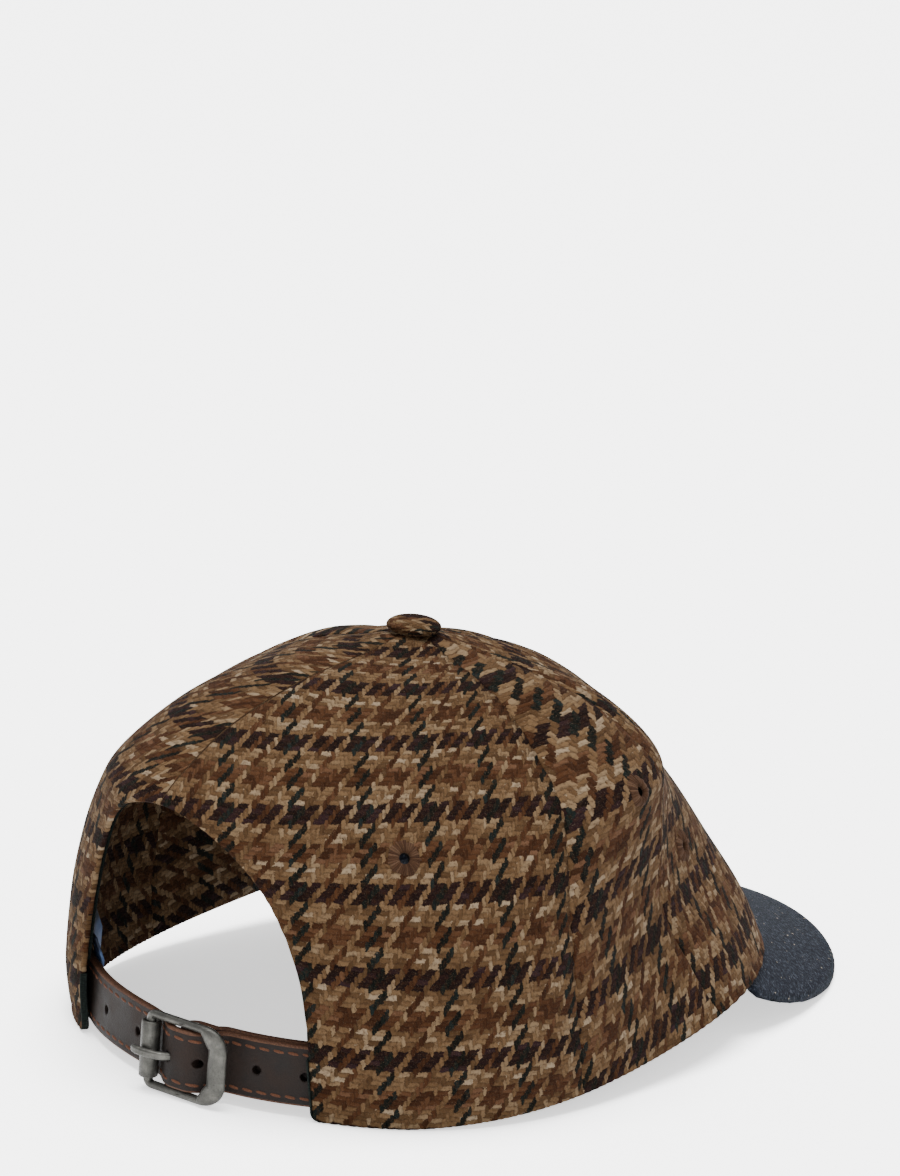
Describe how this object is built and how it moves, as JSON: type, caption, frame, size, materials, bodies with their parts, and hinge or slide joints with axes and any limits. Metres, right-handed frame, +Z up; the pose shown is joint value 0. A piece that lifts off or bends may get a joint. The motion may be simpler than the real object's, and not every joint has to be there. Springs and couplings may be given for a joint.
{
  "type": "ball cap with buckled strap",
  "caption": "Soft tweed ball cap with a short curved wool peak, covered button, sewn eyelets and a leather strap buckled across an arched back opening.",
  "frame": {"origin": "middle of the cap's box on the floor, under the head hollow", "axes": "+Z up, -Y the way the peak points, +X the wearer's left"},
  "size_m": [0.1582, 0.2564, 0.1124],
  "materials": {
    "tweed": "brushed wool tweed in a checked twill",
    "eyelet_thread": "matt embroidery thread",
    "peak_wool": "napped melange wool",
    "tape": "matt woven tape",
    "label_satin": "woven satin",
    "leather": "waxed, slightly worn",
    "aged_nickel": "antique, dull"
  },
  "bodies": {
    "root": {"front_panel_right": "tweed", "eyelet_front_right": "eyelet_thread", "front_panel_left": "tweed", "eyelet_front_left": "eyelet_thread", "side_panel_right": "tweed", "eyelet_side_right": "eyelet_thread", "side_panel_left": "tweed", "eyelet_side_left": "eyelet_thread", "back_panel_right": "tweed", "eyelet_back_right": "eyelet_thread", "back_panel_left": "tweed", "eyelet_back_left": "eyelet_thread", "button": "tweed", "peak": "peak_wool", "opening_tape": "tape", "label": "label_satin", "strap_tongue": "leather", "strap_anchor": "leather", "buckle_frame": "aged_nickel", "buckle_roller": "aged_nickel", "buckle_prong": "aged_nickel"}
  },
  "joints": []
}
